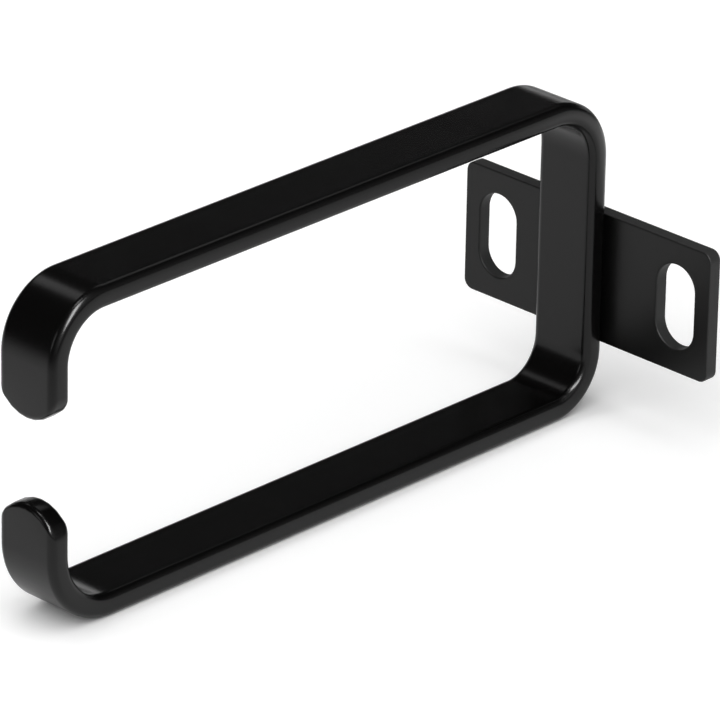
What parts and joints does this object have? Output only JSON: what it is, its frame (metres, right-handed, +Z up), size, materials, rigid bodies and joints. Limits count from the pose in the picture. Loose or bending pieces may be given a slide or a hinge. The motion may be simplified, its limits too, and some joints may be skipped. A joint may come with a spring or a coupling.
{
  "type": "rack d-ring cable hook",
  "caption": "Open D-ring hook of bent flat bar on a slotted plate, which bolts to a rack rail and guides a bundle of cables through the ring.",
  "frame": {"origin": "middle of the mounting plate's back face, halfway between its two slots", "axes": "+X out of the plate's back face, into the rack rail; the ring reaches away along -X. +Y across the plate, from slot to slot. +Z up, along the back of the ring, as the hook stands on its lower arm"},
  "size_m": [0.1025, 0.0434, 0.0456],
  "materials": {
    "black_coat": "smooth semi-gloss black coating over steel"
  },
  "bodies": {
    "root": {"hook_bar": "black_coat", "mounting_plate": "black_coat"}
  },
  "joints": []
}
